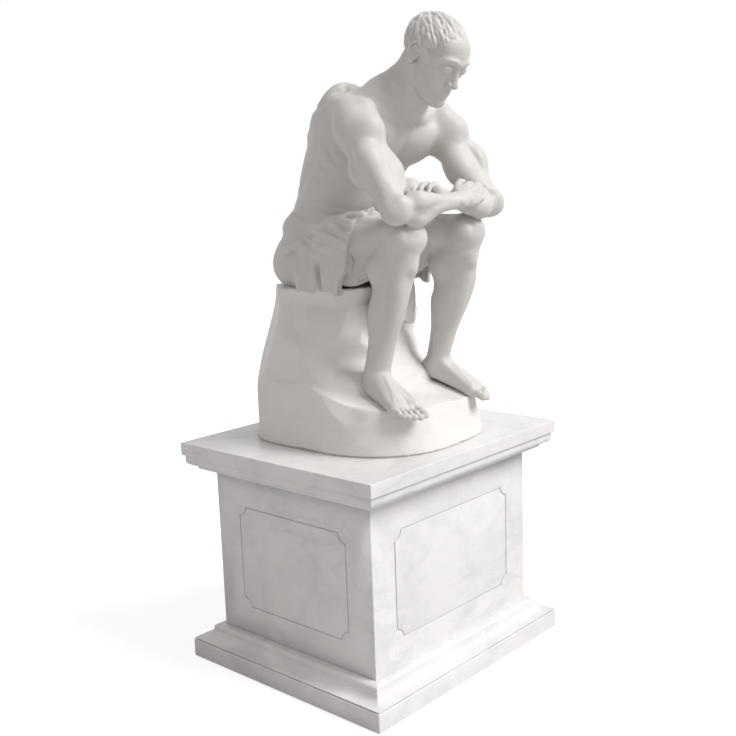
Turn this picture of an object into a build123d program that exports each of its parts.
from build123d import *
import os
from math import copysign, cos, pi, radians, sin, sqrt

# A seated marble figure on a carved rock, on a panelled marble plinth.
# Millimetres. +Z is up, the figure faces -Y, its right side is -X.
# The origin lies on the ground, under the middle of the plinth.

# Plinth: slabs, die and core
die_width = 830.0
die_depth = 720.0
die_height = 560.0
panel_thickness = 40.0
slab_projection = 85.0
base_slab_height = 63.0
base_moulding_height = 50.0
cap_moulding_height = 68.0
cap_slab_height = 45.0
arris_radius = 3.0
bed_thickness = 3.0
bed_setback = 4.0

# Base moulding, read upwards: a low step, a hollow, a fillet and a rounded top
base_step_set = 4.0
base_step_height = 3.0
base_hollow_run = 47.0
base_hollow_height = 27.0
base_fillet_set = 3.0
base_fillet_height = 11.0
base_toe = 4.0

# Cap moulding, read upwards: a hollow, a fillet, a round and a crown fillet
cap_toe = 2.0
cap_hollow_run = 41.0
cap_hollow_height = 20.0
cap_fillet_set = 2.0
cap_fillet_height = 13.0
cap_round_set = 3.0
cap_round_run = 24.0
cap_round_height = 12.0
cap_crown_set = 3.0

# The incised line on each face of the die, with scooped corners
panel_margin_side = 108.0
panel_margin_end = 97.0
panel_scoop_radius = 32.0
panel_line_width = 5.0
panel_line_depth = 3.0

# Stainless steel pins
pin_clearance = 0.2
tie_diameter = 8.0
tie_depth_in_core = 60.0
tie_depth_in_panel = 22.0
moulding_pin_diameter = 10.0
moulding_pin_depth = 28.0
statue_pin_diameter = 22.0
statue_pin_depth_in_rock = 110.0
statue_pin_depth_in_core = 120.0
body_pin_diameter = 16.0
body_pin_half_length = 55.0
neck_pin_half_length = 45.0
wrist_pin_diameter = 8.0
wrist_pin_half_length = 24.0
foot_pin_diameter = 10.0
foot_pin_half_length = 32.0
tie_row_shares = (0.25, 0.75)
pin_row_share = 0.27
statue_pin_shares = ((-0.55, 0.50), (0.55, 0.50), (0.0, -0.55))

# Rock seat
rock_width = 660.0
rock_depth = 748.0
rock_seat_height = 520.0
seat_width = 480.0
seat_depth = 410.0
seat_back = 128.0
ledge_rise = 150.0
waist_back_share = 0.85
stem_back_share = 0.55
# Plan outlines, as shares of the half width and the half depth, anticlockwise from the right
foot_outline_shares = (
    (1.00, 0.06), (0.95, 0.62), (0.62, 0.95), (0.05, 1.00), (-0.58, 0.95), (-0.93, 0.66),
    (-1.00, 0.06), (-0.92, -0.55), (-0.50, -0.95), (0.10, -1.00), (0.62, -0.90), (0.95, -0.48),
)
mid_outline_shares = (
    (0.93, 0.06), (0.84, 0.60), (0.56, 0.90), (0.05, 0.95), (-0.54, 0.90), (-0.86, 0.60),
    (-0.92, 0.06), (-0.86, -0.48), (-0.50, -0.80), (0.08, -0.86), (0.60, -0.78), (0.88, -0.44),
)
seat_outline_shares = (
    (1.00, 0.10), (0.94, 0.66), (0.58, 0.94), (0.0, 1.00), (-0.60, 0.95), (-0.95, 0.62),
    (-1.00, 0.05), (-0.96, -0.60), (-0.62, -0.96), (0.0, -1.00), (0.60, -0.95), (0.97, -0.60),
)
# Chiselled flats: a point on each, as shares of the rock's half sizes and seat height, and the
# way each one faces
flat_point_shares = (
    (-0.86, -0.52, 0.30), (0.88, -0.50, 0.28), (-0.92, 0.62, 0.45), (0.90, 0.66, 0.40),
    (-0.88, 0.10, 0.62), (0.30, 0.93, 0.55), (0.88, 0.08, 0.66),
)
flat_facing_shares = (
    (-0.80, -0.55, 0.42), (0.80, -0.58, 0.36), (-0.72, 0.62, 0.26), (0.70, 0.66, 0.22),
    (-0.93, -0.12, 0.36), (0.25, 0.95, 0.18), (0.94, -0.10, 0.34),
)

# Figure: lengths of its parts
hip_half_width = 97.0
hip_rise = 100.0
hip_back = 145.0
thigh_length = 470.0
shank_length = 460.0
ankle_height = 80.0
foot_length = 302.0
torso_length = 630.0
shoulder_half_width = 198.0
upper_arm_length = 353.0
forearm_length = 258.0
hand_length = 200.0
head_height = 275.0
cloth_thickness = 14.0

# Figure: the pose, in degrees
thigh_splay = 7.4
thigh_rise = 9.2
shank_tuck = 15.8
shank_splay = 1.0
foot_turnout = 9.0
ledge_slope = 15.0
head_bow = 38.0

# Trunk stations: back and up from the middle of the hips, half width and half depth, as shares
# of the trunk's length, with the lean of each in degrees
trunk_shares = (
    (0.006, -0.159, 0.240, 0.192), (0.022, -0.080, 0.300, 0.232), (0.018, 0.032, 0.302, 0.228),
    (-0.008, 0.143, 0.278, 0.208), (-0.063, 0.270, 0.256, 0.192), (-0.143, 0.420, 0.274, 0.206),
    (-0.262, 0.580, 0.308, 0.222), (-0.395, 0.706, 0.334, 0.198), (-0.465, 0.765, 0.284, 0.166),
    (-0.515, 0.806, 0.174, 0.130), (-0.548, 0.833, 0.120, 0.113),
)
trunk_leans = (0.0, 0.0, 3.0, 8.0, 16.0, 25.0, 33.0, 40.0, 43.0, 45.0, 46.0)
girdle_station = 7
hip_station = 2
# Masses on the trunk (breast and blade): middle (side, back, up) and half sizes, as shares of the
# trunk's length, in the leaning frame of the station that carries them
mass_stations = (6, 6)
mass_shares = (
    ((0.108, -0.142, 0.030), (0.116, 0.066, 0.088)),
    ((0.122, 0.104, 0.075), (0.110, 0.074, 0.135)),
)
shoulder_offset_shares = (0.075, -0.120)

# Limb stations: along the limb, half width, half depth and shift to the back, as shares of its
# own length
thigh_shares = (
    (0.02, 0.206, 0.212, 0.0), (0.20, 0.208, 0.214, 0.0), (0.45, 0.196, 0.202, 0.0),
    (0.70, 0.171, 0.177, 0.0), (0.88, 0.151, 0.157, 0.0), (1.00, 0.142, 0.145, 0.0),
)
knee_shares = (0.147, 0.162, 0.158)
shank_shares = (
    (0.00, 0.139, 0.143, 0.0), (0.14, 0.138, 0.151, 0.012), (0.30, 0.143, 0.163, 0.032),
    (0.50, 0.126, 0.141, 0.026), (0.72, 0.092, 0.103, 0.008), (0.90, 0.080, 0.091, 0.0),
    (1.02, 0.084, 0.092, 0.0),
)
upper_arm_shares = (
    (0.00, 0.180, 0.186, 0.0), (0.25, 0.178, 0.187, 0.0), (0.50, 0.164, 0.184, -0.006),
    (0.75, 0.146, 0.162, 0.0), (1.00, 0.136, 0.138, 0.0),
)
deltoid_shares = (0.206, 0.216, 0.264)
deltoid_drop_share = 0.10
elbow_share = 0.144
forearm_shares = (
    (0.00, 0.168, 0.176, 0.0), (0.20, 0.182, 0.188, 0.0), (0.45, 0.160, 0.162, 0.0),
    (0.75, 0.120, 0.110, 0.0), (1.00, 0.112, 0.090, 0.0),
)
upper_arm_heading_shares = (0.119, -0.572, -0.813)
right_forearm_heading_shares = (0.969, -0.205, 0.081)
left_forearm_heading_shares = (-0.991, 0.052, 0.112)

# Foot: along from the back of the heel, half width, height, as shares of the foot's length
foot_shares = (
    (0.02, 0.085, 0.150), (0.14, 0.118, 0.250), (0.28, 0.122, 0.310), (0.45, 0.135, 0.262),
    (0.62, 0.158, 0.195), (0.78, 0.172, 0.132), (0.87, 0.162, 0.105),
)
heel_share = 0.225
toe_side_shares = (-0.118, -0.038, 0.030, 0.088, 0.138)
toe_along_shares = (0.955, 0.962, 0.935, 0.900, 0.865)
toe_length_shares = (0.200, 0.190, 0.175, 0.160, 0.150)
toe_radius_shares = (0.050, 0.036, 0.034, 0.032, 0.031)
toe_taper_shares = (0.90, 1.05, 0.92)

# Hand: the palm's stations (along, half width, half thickness) and the fingers, from the index to
# the little finger, as shares of the hand's length
palm_shares = ((0.16, 0.178, 0.100), (0.34, 0.215, 0.088), (0.52, 0.205, 0.066))
wrist_side_hint = (0, -1, 0)
knuckle_along_shares = (0.50, 0.52, 0.50, 0.46)
knuckle_side_shares = (0.150, 0.050, -0.052, -0.150)
finger_length_shares = (0.40, 0.44, 0.41, 0.32)
finger_radius_shares = (0.050, 0.052, 0.049, 0.043)
phalanx_shares = (0.46, 0.30, 0.24)
finger_taper_shares = (1.0, 0.92, 0.84, 0.70)
finger_bends = (16.0, 34.0, 24.0)
thumb_shares = (
    (0.12, 0.130, -0.02), (0.30, 0.245, -0.05), (0.46, 0.285, -0.05), (0.58, 0.270, -0.06),
)
thumb_radius_shares = (0.070, 0.064, 0.056, 0.044)
right_hand_heading_shares = (0.965, 0.155, 0.210)
left_hand_heading_shares = (-0.920, -0.200, 0.370)
right_hand_back_shares = (0.0, -0.750, 0.660)
left_hand_back_shares = (0.02, 0.120, 0.980)

# Head, in its own bowed frame: middle (side, back, up) and half sizes, as shares of its height
cranium_shares = ((0.0, 0.020, 0.020), (0.310, 0.400, 0.385))
brow_shares = ((0.0, -0.335, 0.075), (0.235, 0.062, 0.048))
chin_shares = ((0.0, -0.345, -0.440), (0.092, 0.070, 0.062))
lip_shares = (
    ((0.0, -0.372, -0.282), (0.098, 0.036, 0.022)), ((0.0, -0.366, -0.322), (0.086, 0.036, 0.025)),
)
socket_shares = ((0.130, -0.400, 0.012), (0.082, 0.064, 0.046))
eye_shares = ((0.130, -0.312, 0.005), (0.064, 0.064, 0.058))
cheek_shares = ((0.178, -0.262, -0.105), (0.088, 0.088, 0.068))
ear_shares = ((0.306, 0.035, -0.030), (0.026, 0.078, 0.130))
conch_shares = ((0.330, 0.018, -0.030), (0.024, 0.040, 0.070))
hair_shares = ((0.0, 0.035, 0.040), (0.334, 0.424, 0.404))
hair_line_share = 0.10
hair_line_tilt = 38.0
# Face stations: up, back, half width and half depth
face_shares = (
    (0.120, -0.070, 0.286, 0.318), (-0.080, -0.105, 0.270, 0.276), (-0.240, -0.140, 0.236, 0.232),
    (-0.385, -0.190, 0.176, 0.186), (-0.480, -0.235, 0.098, 0.110),
)
# Nose: up, back of the ridge and half width
nose_shares = (
    (0.075, -0.375, 0.036), (-0.060, -0.425, 0.044), (-0.165, -0.490, 0.066), (-0.200, -0.440, 0.060),
)
nose_depth_share = 0.16
neck_rise_shares = (0.30, 0.62, 1.0)
neck_half_shares = ((0.265, 0.262), (0.250, 0.258), (0.245, 0.275))
neck_top_shares = (0.0, 0.085, -0.150)
head_offset_shares = (-0.475, 0.415)

# Lap cloth: stations from the belly to the hem along the thigh, and for each the sag between the
# thighs, the drop at the outer sides and the drop of the hanging part, as shares of the thigh
cloth_station_shares = (-0.02, 0.16, 0.34, 0.50, 0.60)
cloth_sag_shares = (0.03, 0.12, 0.16, 0.19, 0.22)
cloth_side_shares = (0.26, 0.25, 0.22, 0.18, 0.14)
cloth_hang_shares = (0.45, 0.45, 0.50, 0.58, 0.60)
cloth_hang_half_share = 0.17
# Places across half of the lap: turns over the thigh in degrees, then shares of the way in
cloth_over_turns = (0.0, 30.0, 60.0, 90.0)
cloth_dip_shares = (0.75, 0.50, 0.25, 0.0)
# Folds across half of the lap, from the outer side to the middle
cloth_fold_shares = (0.0, 0.008, -0.008, 0.012, -0.016, 0.014, -0.012, 0.020)

# How far the rounded end of a finger or toe is drawn on, as shares of its end radius
tip_ahead_shares = (0.55, 0.90)

section_points = 10
overrun = 60.0

# Levels, worked out from the ground up
base_top = base_slab_height
moulding_base = base_top + bed_thickness
die_base = moulding_base + base_moulding_height
die_top = die_base + die_height
cap_moulding_top = die_top + cap_moulding_height
cap_base = cap_moulding_top + bed_thickness
cap_top = cap_base + cap_slab_height
rock_base = cap_top + bed_thickness
seat_level = rock_base + rock_seat_height


# Where a block stands on the place given for it
on_base = (Align.CENTER, Align.CENTER, Align.MIN)


# Plinth

def turned(shape, quarter):
    return Rot(0, 0, quarter) * shape


def side_half_sizes(name):
    """Half the length of a plinth side, and how far its face lies from the middle."""
    if name in ("front", "back"):
        return die_width / 2, die_depth / 2
    return die_depth / 2, die_width / 2


side_quarters = {"front": 0, "right": 90, "back": 180, "left": 270}


def mitre_wedge(half_length, half_reach, projection, base, height):
    """Plan wedge that ends a length at 45 degrees at both corners, from the inner face outwards."""
    inner = panel_thickness
    outline = Polyline(
        (-(half_length - inner), -(half_reach - inner)),
        (half_length - inner, -(half_reach - inner)),
        (half_length + projection, -(half_reach + projection)),
        (-(half_length + projection), -(half_reach + projection)),
        close=True,
    )
    return extrude(Pos(0, 0, base) * make_face(outline), amount=height)


def moulded_length(profile, name, base, height):
    """One mitred length of moulding: its section run along a side and cut by the wedge."""
    half_length, half_reach = side_half_sizes(name)
    run = half_length + slab_projection
    section_plane = Plane(origin=(run, -half_reach, base), x_dir=(0, -1, 0), z_dir=(-1, 0, 0))
    body = extrude(section_plane * profile, amount=2 * run)
    body = body & mitre_wedge(half_length, half_reach, slab_projection, base, height)
    return turned(body, side_quarters[name])


def base_section():
    step = slab_projection - base_step_set
    hollow_in = step - base_hollow_run
    hollow_top = base_step_height + base_hollow_height
    fillet = hollow_in - base_fillet_set
    fillet_top = hollow_top + base_fillet_height
    top = base_moulding_height
    lines = [
        Polyline((hollow_in, hollow_top), (fillet, hollow_top), (fillet, fillet_top)),
        Bezier((fillet, fillet_top), (fillet, top), (base_toe, top)),
        Polyline(
            (base_toe, top), (-panel_thickness, top), (-panel_thickness, 0), (step, 0),
            (step, base_step_height),
        ),
        Bezier((step, base_step_height), (hollow_in, base_step_height), (hollow_in, hollow_top)),
    ]
    return make_face(Wire([edge for line in lines for edge in line.edges()]))


def cap_section():
    hollow_out = cap_toe + cap_hollow_run
    fillet = hollow_out + cap_fillet_set
    fillet_top = cap_hollow_height + cap_fillet_height
    round_in = fillet + cap_round_set
    round_out = round_in + cap_round_run
    round_top = fillet_top + cap_round_height
    crown = round_out + cap_crown_set
    top = cap_moulding_height
    lines = [
        Polyline((-panel_thickness, 0), (cap_toe, 0)),
        Bezier((cap_toe, 0), (cap_toe, cap_hollow_height), (hollow_out, cap_hollow_height)),
        Polyline(
            (hollow_out, cap_hollow_height), (fillet, cap_hollow_height), (fillet, fillet_top),
            (round_in, fillet_top),
        ),
        Bezier((round_in, fillet_top), (round_out, fillet_top), (round_out, round_top)),
        Polyline(
            (round_out, round_top), (crown, round_top), (crown, top), (-panel_thickness, top),
            (-panel_thickness, 0),
        ),
    ]
    return make_face(Wire([edge for line in lines for edge in line.edges()]))


def scooped_outline(half_width, half_height, inset):
    """Rectangle with scooped corners, drawn in by an inset that keeps the line's width even."""
    radius = panel_scoop_radius + inset
    reach = sqrt(radius**2 - inset**2)
    side = half_width - inset
    end = half_height - inset
    edges = []
    for sx, sy in ((1, 1), (-1, 1), (-1, -1), (1, -1)):
        flat = (sx * (half_width - reach), sy * end)
        upright = (sx * side, sy * (half_height - reach))
        middle = (sx * (half_width - radius * cos(pi / 4)), sy * (half_height - radius * sin(pi / 4)))
        first, last = (upright, flat) if sx * sy > 0 else (flat, upright)
        edges.append(ThreePointArc(first, middle, last))
    joined = []
    for index, arc in enumerate(edges):
        following = edges[(index + 1) % len(edges)]
        joined += [arc, Line(arc @ 1, following @ 0)]
    return make_face(Wire([edge for line in joined for edge in line.edges()]))


def die_panel(name):
    half_length, half_reach = side_half_sizes(name)
    panel = mitre_wedge(half_length, half_reach, 0, die_base, die_height)
    half_width = half_length - panel_margin_side
    half_height = die_height / 2 - panel_margin_end
    line = scooped_outline(half_width, half_height, 0)
    line -= scooped_outline(half_width, half_height, panel_line_width)
    face_middle = (0, -half_reach, die_base + die_height / 2)
    face_plane = Plane(origin=face_middle, x_dir=(1, 0, 0), z_dir=(0, -1, 0))
    panel -= extrude(face_plane * line, amount=-panel_line_depth)
    return turned(panel, side_quarters[name])


def slab(width, depth, height, base):
    body = Pos(0, 0, base) * Box(width, depth, height, align=on_base)
    return fillet(body.edges(), arris_radius)


def bed(width, depth, base):
    return Pos(0, 0, base) * Box(width, depth, bed_thickness, align=on_base)


def rod(start, end, diameter):
    start = Vector(*start)
    end = Vector(*end)
    plane = Plane(origin=start, z_dir=end - start)
    return plane * Cylinder(diameter / 2, (end - start).length, align=on_base)


def both(ends, diameter):
    """Pins through the given pairs of ends, and the holes that take them."""
    pins = [rod(start, end, diameter) for start, end in ends]
    holes = [rod(start, end, diameter + 2 * pin_clearance) for start, end in ends]
    return pins, holes


def side_point(name, along, reach, level):
    """A point of a plinth side, given along that side and outwards from the middle."""
    turn = radians(side_quarters[name])
    x = along * cos(turn) + reach * sin(turn)
    y = along * sin(turn) - reach * cos(turn)
    return x, y, level


# Figure: helpers

def ring(plane, half_width, half_depth, power=2.2):
    """Closed section, a little squarer than an ellipse, always started on the same side."""
    points = []
    for index in range(section_points):
        turn = 2 * pi * index / section_points
        across, along = cos(turn), sin(turn)
        x = half_width * copysign(abs(across) ** (2 / power), across)
        y = half_depth * copysign(abs(along) ** (2 / power), along)
        points.append((x, y))
    return plane * make_face(Spline(*points, periodic=True))


def ellipsoid(frame, middle, half_sizes):
    unit = scale(Sphere(1), by=half_sizes)
    return frame * (Pos(*middle) * unit)


def sized(shares, length):
    return tuple(share * length for share in shares)


def limb(start, end, stations, length, side_hint=(1, 0, 0)):
    """Lofted limb from one joint to the next; its depth runs square to the side hint."""
    start, end = Vector(*start), Vector(*end)
    heading = (end - start).normalized()
    side = Vector(*side_hint)
    side = (side - heading * side.dot(heading)).normalized()
    sections = []
    for along_share, wide_share, deep_share, shift_share in stations:
        plane = Plane(origin=start, x_dir=side, z_dir=heading)
        middle = start + heading * (along_share * length) + plane.y_dir * (shift_share * length)
        station = Plane(origin=middle, x_dir=side, z_dir=heading)
        sections.append(ring(station, wide_share * length, deep_share * length))
    return loft(sections)


def tube(points, radii):
    """Loft of circles along a bent line, rounded off beyond its last point."""
    points = [Vector(*point) for point in points]
    radii = list(radii)
    last_heading = (points[-1] - points[-2]).normalized()
    tip, tip_radius = points[-1], radii[-1]
    for ahead_share in tip_ahead_shares:
        points.append(tip + last_heading * (ahead_share * tip_radius))
        radii.append(sqrt(1 - ahead_share**2) * tip_radius)
    sections = []
    for index, (point, radius) in enumerate(zip(points, radii)):
        before = points[max(index - 1, 0)]
        after = points[min(index + 1, len(points) - 1)]
        plane = Plane(origin=point, x_dir=(after - before).cross(Vector(0, 0, 1)), z_dir=after - before)
        sections.append(plane * Circle(radius))
    return loft(sections, ruled=True)


def solid(shape):
    """The largest solid of a result, without the slivers that a cut can leave."""
    return max(shape.solids(), key=lambda piece: piece.volume)


def toward(shares):
    return Vector(*shares).normalized()


# Figure: places of its joints

def mirrored(shares, side):
    return side * shares[0], shares[1], shares[2]


hips_middle = Vector(0, hip_back, seat_level + hip_rise)


def hip(side):
    return hips_middle + Vector(side * hip_half_width, 0, 0)


def knee(side):
    splay, rise = radians(thigh_splay), radians(thigh_rise)
    heading = Vector(side * sin(splay) * cos(rise), -cos(splay) * cos(rise), sin(rise))
    return hip(side) + heading * thigh_length


def ankle(side):
    tuck, splay = radians(shank_tuck), radians(shank_splay)
    heading = Vector(side * sin(splay), sin(tuck) * cos(splay), -cos(tuck) * cos(splay))
    return knee(side) + heading * shank_length


def sole_frame(side):
    """Frame on the sole below the ankle: x to the side, y to the heel, z away from the ground."""
    turn, slope = radians(foot_turnout) * side, radians(ledge_slope)
    heel = Vector(-sin(turn) * cos(slope), cos(turn) * cos(slope), sin(slope))
    across = Vector(cos(turn), sin(turn), 0)
    up = across.cross(heel)
    return Plane(origin=ankle(side) - up * ankle_height, x_dir=across, z_dir=up)


def trunk_point(back_share, up_share):
    return hips_middle + Vector(0, back_share * torso_length, up_share * torso_length)


def trunk_plane(station):
    lean = radians(trunk_leans[station])
    origin = trunk_point(*trunk_shares[station][:2])
    return Plane(origin=origin, x_dir=(1, 0, 0), z_dir=(0, -sin(lean), cos(lean)))


neck_base = trunk_point(*trunk_shares[-1][:2])


def shoulder(side):
    back, up = sized(shoulder_offset_shares, torso_length)
    return neck_base + Vector(side * shoulder_half_width, back, up)


def elbow(side):
    return shoulder(side) + toward(mirrored(upper_arm_heading_shares, side)) * upper_arm_length


def forearm_heading(side):
    return toward(right_forearm_heading_shares if side < 0 else left_forearm_heading_shares)


def wrist(side):
    return elbow(side) + forearm_heading(side) * forearm_length


def hand_frame(side):
    """Frame at the wrist: x along the hand, z out of its back, y to the thumb on a right hand."""
    along = toward(right_hand_heading_shares if side < 0 else left_hand_heading_shares)
    back = toward(right_hand_back_shares if side < 0 else left_hand_back_shares)
    back = (back - along * back.dot(along)).normalized()
    return Plane(origin=wrist(side), x_dir=along, z_dir=back)


head_middle = neck_base + Vector(0, *sized(head_offset_shares, head_height))
bow = radians(head_bow)
head_frame = Plane(origin=head_middle, x_dir=(1, 0, 0), z_dir=(0, -sin(bow), cos(bow)))


# Figure: its parts

def make_torso():
    sections = []
    for station, (_, _, wide, deep) in enumerate(trunk_shares):
        sections.append(ring(trunk_plane(station), wide * torso_length, deep * torso_length, 2.4))
    body = loft(sections)
    for station, (middle, half) in zip(mass_stations, mass_shares):
        for side in (-1, 1):
            place = sized(mirrored(middle, side), torso_length)
            body += ellipsoid(trunk_plane(station), place, sized(half, torso_length))
    neck_plane = trunk_plane(-1)
    seat_plane = Plane(origin=(0, 0, seat_level))
    body = split(body, bisect_by=neck_plane, keep=Keep.BOTTOM)
    return solid(split(body, bisect_by=seat_plane, keep=Keep.TOP)), neck_plane


def make_leg(side):
    body = limb(hip(side), knee(side), thigh_shares, thigh_length)
    body += limb(knee(side), ankle(side), shank_shares, shank_length)
    body += ellipsoid(Plane(origin=knee(side)), (0, 0, 0), sized(knee_shares, shank_length))
    return body + make_foot(side)


def make_foot(side):
    frame = sole_frame(side)
    heel_back = heel_share * foot_length
    sections = []
    for along_share, wide_share, high_share in foot_shares:
        high = high_share * foot_length
        middle = (0, heel_back - along_share * foot_length, high / 2)
        station = frame * Plane(origin=middle, x_dir=(1, 0, 0), z_dir=(0, -1, 0))
        sections.append(ring(station, wide_share * foot_length, high / 2, 2.6))
    foot = loft(sections)
    toes = zip(toe_side_shares, toe_along_shares, toe_length_shares, toe_radius_shares)
    for side_share, along_share, long_share, radius_share in toes:
        radius = radius_share * foot_length
        across = side * side_share * foot_length
        points = []
        for back_share in (long_share, long_share / 2, 0):
            points.append((across, heel_back - (along_share - back_share) * foot_length, radius))
        foot += frame * tube(points, sized(toe_taper_shares, radius))
    return foot


def make_arm(side):
    start, end = shoulder(side), elbow(side)
    body = limb(start, end, upper_arm_shares, upper_arm_length)
    arm_frame = Plane(origin=start, x_dir=(1, -1, 0), z_dir=end - start)
    cap_middle = (0, 0, deltoid_drop_share * upper_arm_length)
    body += ellipsoid(arm_frame, cap_middle, sized(deltoid_shares, upper_arm_length))
    body += Pos(*end) * Sphere(elbow_share * upper_arm_length)
    return body + limb(end, wrist(side), forearm_shares, forearm_length, wrist_side_hint)


def make_hand(side):
    frame = hand_frame(side)
    thumb_side = -side
    wide, deep = sized(forearm_shares[-1][1:3], forearm_length)
    heading = forearm_heading(side)
    across = Vector(*wrist_side_hint)
    across = (across - heading * across.dot(heading)).normalized()
    sections = [ring(Plane(origin=wrist(side), x_dir=across, z_dir=heading), wide, deep)]
    near_side = copysign(1, frame.y_dir.dot(across))
    for along_share, wide_share, thick_share in palm_shares:
        middle = (along_share * hand_length, 0, 0)
        station = frame * Plane(origin=middle, x_dir=(0, near_side, 0), z_dir=(1, 0, 0))
        sections.append(ring(station, wide_share * hand_length, thick_share * hand_length, 2.4))
    body = loft(sections)
    fingers = zip(knuckle_along_shares, knuckle_side_shares, finger_length_shares, finger_radius_shares)
    for along_share, side_share, long_share, radius_share in fingers:
        place = Vector(along_share, thumb_side * side_share, 0) * hand_length
        points, bend = [place], 0
        for phalanx, angle in zip(phalanx_shares, finger_bends):
            bend += radians(angle)
            place = place + Vector(cos(bend), 0, -sin(bend)) * (phalanx * long_share * hand_length)
            points.append(place)
        radii = [taper * radius_share * hand_length for taper in finger_taper_shares]
        body += frame * tube(points, radii)
    thumb = [Vector(along, thumb_side * across, up) * hand_length for along, across, up in thumb_shares]
    return body + frame * tube(thumb, sized(thumb_radius_shares, hand_length))


def make_head(neck_plane):
    size = head_height
    body = ellipsoid(head_frame, *(sized(shares, size) for shares in cranium_shares))
    sections = []
    for up, back, wide, deep in face_shares:
        station = head_frame * Plane(origin=(0, back * size, up * size))
        sections.append(ring(station, wide * size, deep * size, 2.3))
    body += loft(sections)
    for middle, half in (brow_shares, chin_shares, *lip_shares):
        body += ellipsoid(head_frame, sized(middle, size), sized(half, size))
    for side in (-1, 1):
        for (middle, half), hollow in (
            (cheek_shares, False), (socket_shares, True), (eye_shares, False), (ear_shares, False),
            (conch_shares, True),
        ):
            form = ellipsoid(head_frame, sized(mirrored(middle, side), size), sized(half, size))
            body = body - form if hollow else body + form
    body += make_nose(size) + make_hair(size)
    return body + make_neck(neck_plane, size)


def make_nose(size):
    sections = []
    for up, back, half in nose_shares:
        root = back + nose_depth_share
        outline = Polyline(
            (-half * size, root * size), (-half * size / 2, back * size),
            (half * size / 2, back * size), (half * size, root * size),
            close=True,
        )
        sections.append(head_frame * (Pos(0, 0, up * size) * make_face(outline)))
    return loft(sections, ruled=True)


def make_hair(size):
    cap = ellipsoid(head_frame, *(sized(shares, size) for shares in hair_shares))
    tilt = radians(hair_line_tilt)
    level = Plane(origin=(0, 0, -hair_line_share * size), z_dir=(0, sin(tilt), cos(tilt)))
    hair_line = Plane(head_frame.location * level.location)
    return split(cap, bisect_by=hair_line, keep=Keep.TOP)


def make_neck(neck_plane, size):
    wide, deep = (share * torso_length for share in trunk_shares[-1][2:])
    sections = [ring(neck_plane, wide, deep, 2.4)]
    start = neck_base
    end = Vector(*(head_frame.from_local_coords(Vector(*sized(neck_top_shares, size)))))
    for rise, (wide_share, deep_share) in zip(neck_rise_shares, neck_half_shares):
        heading = (neck_plane.z_dir * (1 - rise) + head_frame.z_dir * rise).normalized()
        station = Plane(origin=start + (end - start) * rise, x_dir=(1, 0, 0), z_dir=heading)
        sections.append(ring(station, wide_share * size, deep_share * size, 2.4))
    return loft(sections)


def make_cloth():
    """Drapery over both thighs: one section across the lap for each station, lofted to the hem."""
    sections = []
    stations = zip(cloth_station_shares, cloth_sag_shares, cloth_side_shares, cloth_hang_shares)
    for along_share, sag_share, side_share, hang_share in stations:
        middle = hip(1) + (knee(1) - hip(1)) * along_share
        near, far = thigh_shares[1], thigh_shares[4]
        girth = near[2] + (far[2] - near[2]) * max(along_share - near[0], 0) / (far[0] - near[0])
        radius = girth * thigh_length + cloth_thickness
        sag = sag_share * thigh_length
        side_level = middle.Z - side_share * thigh_length
        hang_level = middle.Z - hang_share * thigh_length
        hang_half = cloth_hang_half_share * thigh_length
        over = []
        for turn in cloth_over_turns:
            across, rise = radius * cos(radians(turn)), radius * sin(radians(turn))
            over.append((middle.X + across, middle.Z + rise))
        dip = []
        for share in cloth_dip_shares:
            dip.append((middle.X * share, middle.Z + radius - sag * (1 - share**2)))
        folds = [(x, z + fold * thigh_length) for (x, z), fold in zip(over + dip, cloth_fold_shares)]
        upper = folds + [(-x, z) for x, z in reversed(folds[:-1])]
        outer = upper[0][0]
        lower = [
            (-outer, side_level), (-hang_half, side_level), (-hang_half, hang_level),
            (hang_half, hang_level), (hang_half, side_level), (outer, side_level),
        ]
        edges = Spline(*upper).edges() + Polyline(upper[-1], *lower, upper[0]).edges()
        station = Plane(origin=(0, middle.Y, 0), x_dir=(1, 0, 0), z_dir=(0, -1, 0))
        sections.append(station * make_face(Wire(edges)))
    return loft(sections)


# Rock

def outline_face(shares, half_width, half_depth, middle_y, level):
    points = [(x * half_width, y * half_depth) for x, y in shares]
    return Pos(0, middle_y, level) * make_face(Spline(*points, periodic=True))


def make_rock():
    half_width, half_depth = rock_width / 2, rock_depth / 2
    ledge_top = rock_base + ledge_rise + overrun
    foot_face = outline_face(foot_outline_shares, half_width, half_depth, 0, rock_base)
    mid_face = outline_face(mid_outline_shares, half_width, half_depth, 0, ledge_top)
    foot_block = loft([foot_face, mid_face])
    seat_face = outline_face(seat_outline_shares, seat_width / 2, seat_depth / 2, seat_back, seat_level)
    waist_level = rock_base + rock_seat_height / 2
    waist = outline_face(
        seat_outline_shares, (seat_width + rock_width) / 4, (2 * seat_depth + rock_depth) / 6,
        seat_back * waist_back_share, waist_level,
    )
    stem_face = outline_face(
        seat_outline_shares, half_width * mid_outline_shares[0][0], (seat_depth + rock_depth) / 4,
        seat_back * stem_back_share, rock_base,
    )
    seat_block = loft([stem_face, waist, seat_face])
    for side in (-1, 1):
        ledge = sole_frame(side)
        keep_above = ledge * Box(rock_width, 2 * rock_depth, rock_seat_height, align=on_base)
        one_side = (Align.MIN, Align.CENTER, Align.CENTER)
        half_space = Box(rock_width, 4 * rock_depth, 4 * rock_seat_height, align=one_side)
        foot_block -= keep_above & (half_space if side > 0 else turned(half_space, 180))
    rock = foot_block + seat_block
    size = Vector(half_width, half_depth, rock_seat_height)
    for point, facing in zip(flat_point_shares, flat_facing_shares):
        place = Vector(point[0] * size.X, point[1] * size.Y, rock_base + point[2] * size.Z)
        flat = Plane(origin=place, z_dir=toward(facing))
        rock -= flat * Box(rock_depth, rock_depth, rock_seat_height, align=on_base)
    return solid(rock)


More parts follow.
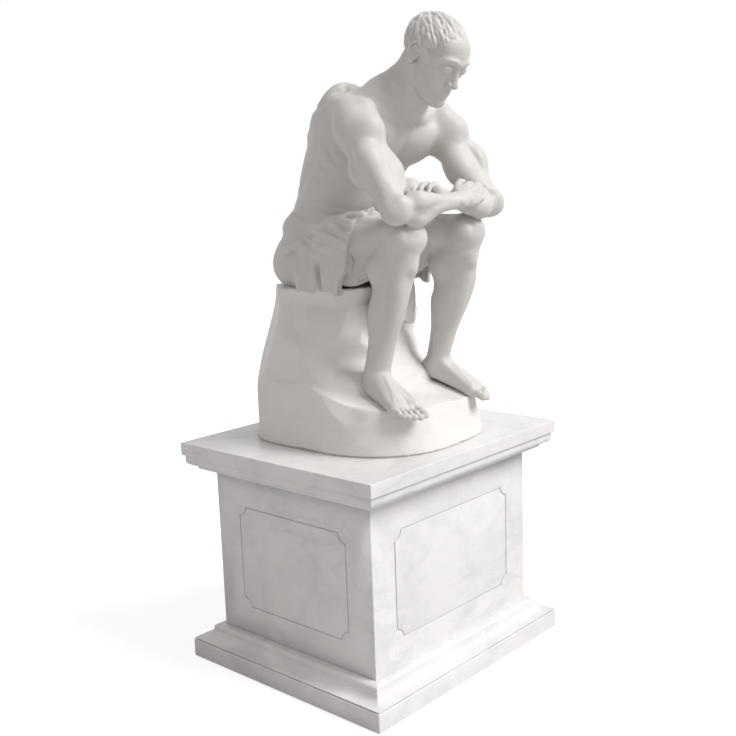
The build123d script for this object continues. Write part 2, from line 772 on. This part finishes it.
# Assembly

def make_plinth():
    parts = {}
    full_width = die_width + 2 * slab_projection
    full_depth = die_depth + 2 * slab_projection
    parts["base_slab"] = slab(full_width, full_depth, base_slab_height, 0)
    parts["cap_slab"] = slab(full_width, full_depth, cap_slab_height, cap_base)
    foot_in = base_step_set + bed_setback
    parts["base_bed"] = bed(full_width - 2 * foot_in, full_depth - 2 * foot_in, base_top)
    crown = cap_toe + cap_hollow_run + cap_fillet_set + cap_round_set + cap_round_run
    crown += cap_crown_set - bed_setback
    parts["cap_bed"] = bed(die_width + 2 * crown, die_depth + 2 * crown, cap_moulding_top)
    core_width = die_width - 2 * panel_thickness
    core_depth = die_depth - 2 * panel_thickness
    core_height = cap_moulding_top - moulding_base
    core = Box(core_width, core_depth, core_height, align=on_base)
    parts["plinth_core"] = Pos(0, 0, moulding_base) * core
    ties, base_pins, cap_pins = [], [], []
    for name in side_quarters:
        half_length, half_reach = side_half_sizes(name)
        base_length = moulded_length(base_section(), name, moulding_base, base_moulding_height)
        cap_length = moulded_length(cap_section(), name, die_top, cap_moulding_height)
        parts["base_moulding_" + name] = base_length
        parts["cap_moulding_" + name] = cap_length
        parts["die_panel_" + name] = die_panel(name)
        inner = half_reach - panel_thickness
        for along in (-pin_row_share * 2 * half_length, pin_row_share * 2 * half_length):
            for row in tie_row_shares:
                level = die_base + row * die_height
                tie_in = side_point(name, along, inner - tie_depth_in_core, level)
                ties.append((tie_in, side_point(name, along, inner + tie_depth_in_panel, level)))
            middle = half_reach - panel_thickness / 2
            low = side_point(name, along, middle, base_top - moulding_pin_depth)
            base_pins.append((low, side_point(name, along, middle, moulding_base + moulding_pin_depth)))
            low = side_point(name, along, middle, die_top - moulding_pin_depth)
            cap_pins.append((low, side_point(name, along, middle, die_top + moulding_pin_depth)))
    pinned = {
        "panel_ties": (ties, tie_diameter, ("plinth_core", "die_panel_")),
        "base_dowels": (base_pins, moulding_pin_diameter, ("base_slab", "base_bed", "base_moulding_")),
        "moulding_dowels": (cap_pins, moulding_pin_diameter, ("die_panel_", "cap_moulding_")),
    }
    for node, (ends, diameter, hosts) in pinned.items():
        parts[node] = set_pins(parts, ends, diameter, hosts)
    return parts


def set_pins(parts, ends, diameter, hosts):
    """Drill the pieces that the pins pass through, and give the pins as one group."""
    pins, holes = both(ends, diameter)
    for host in [name for name in parts if name.startswith(hosts)]:
        box = parts[host].bounding_box()
        near = [hole for hole in holes if box.overlaps(hole.bounding_box())]
        if near:
            parts[host] = solid(parts[host] - near)
    return Compound(children=pins)


def make_statue(parts):
    torso, neck_plane = make_torso()
    legs = {side: solid(make_leg(side) - torso) for side in (-1, 1)}
    arms = {side: solid(make_arm(side) - torso - legs[side]) for side in (-1, 1)}
    arms[1] = solid(arms[1] - arms[-1])
    hands = {}
    for side in (-1, 1):
        hands[side] = solid(make_hand(side) - arms[-side] - legs[-1] - legs[1])
    hands[1] = solid(hands[1] - hands[-1])
    rock = solid(make_rock() - torso - legs[-1] - legs[1])
    cloth = solid(make_cloth() - torso - legs[-1] - legs[1] - rock)
    parts["torso"] = torso
    parts["head"] = solid(make_head(neck_plane) - torso)
    parts["lap_cloth"] = cloth
    parts["rock_seat"] = rock
    for side, word in ((-1, "right"), (1, "left")):
        parts[word + "_leg"] = legs[side]
        parts[word + "_arm"] = arms[side]
        parts[word + "_hand"] = hands[side]
    foot_face = outline_face(
        foot_outline_shares, rock_width / 2 - bed_setback, rock_depth / 2 - bed_setback, 0, cap_top
    )
    parts["statue_bed"] = extrude(foot_face, amount=bed_thickness)
    pin_statue(parts, neck_plane)


def pin_statue(parts, neck_plane):
    low, high = cap_base - statue_pin_depth_in_core, rock_base + statue_pin_depth_in_rock
    places = [(x * rock_width / 2, y * rock_depth / 2) for x, y in statue_pin_shares]
    ends = [((x, y, low), (x, y, high)) for x, y in places]
    hosts = ("plinth_core", "cap_bed", "cap_slab", "statue_bed", "rock_seat")
    parts["statue_dowels"] = set_pins(parts, ends, statue_pin_diameter, hosts)

    def across(middle, heading, half):
        return tuple(middle - heading * half), tuple(middle + heading * half)

    up = Vector(0, 0, 1)
    seat_middle = Vector(0, hip_back, seat_level)
    parts["seat_dowel"] = set_pins(
        parts, [across(seat_middle, up, body_pin_half_length)], body_pin_diameter,
        ("torso", "rock_seat"),
    )
    parts["neck_dowel"] = set_pins(
        parts, [across(neck_base, neck_plane.z_dir, neck_pin_half_length)], body_pin_diameter,
        ("torso", "head"),
    )
    hip_ends, shoulder_ends, wrist_ends, foot_ends = [], [], [], []
    for side in (-1, 1):
        thigh = (knee(side) - hip(side)).normalized()
        seat_on_torso = hip(side) + thigh * (trunk_shares[hip_station][3] * torso_length)
        hip_ends.append(across(seat_on_torso, thigh, body_pin_half_length))
        inward = (trunk_point(*trunk_shares[girdle_station][:2]) - shoulder(side)).normalized()
        socket = shoulder(side) + inward * (body_pin_half_length / 2)
        shoulder_ends.append(across(socket, inward, body_pin_half_length))
        wrist_ends.append(across(wrist(side), forearm_heading(side), wrist_pin_half_length))
        sole = sole_frame(side)
        foot_ends.append(across(sole.origin, sole.z_dir, foot_pin_half_length))
    legs, arms, hands = ("right_leg", "left_leg"), ("right_arm", "left_arm"), ("right_hand", "left_hand")
    parts["hip_dowels"] = set_pins(parts, hip_ends, body_pin_diameter, ("torso", *legs))
    parts["shoulder_dowels"] = set_pins(parts, shoulder_ends, body_pin_diameter, ("torso", *arms))
    parts["wrist_dowels"] = set_pins(parts, wrist_ends, wrist_pin_diameter, (*arms, *hands))
    parts["foot_dowels"] = set_pins(parts, foot_ends, foot_pin_diameter, ("rock_seat", *legs))


def main():
    os.makedirs("parts", exist_ok=True)
    parts = make_plinth()
    make_statue(parts)
    for name, shape in parts.items():
        export_step(shape, f"parts/{name}.step")


main()
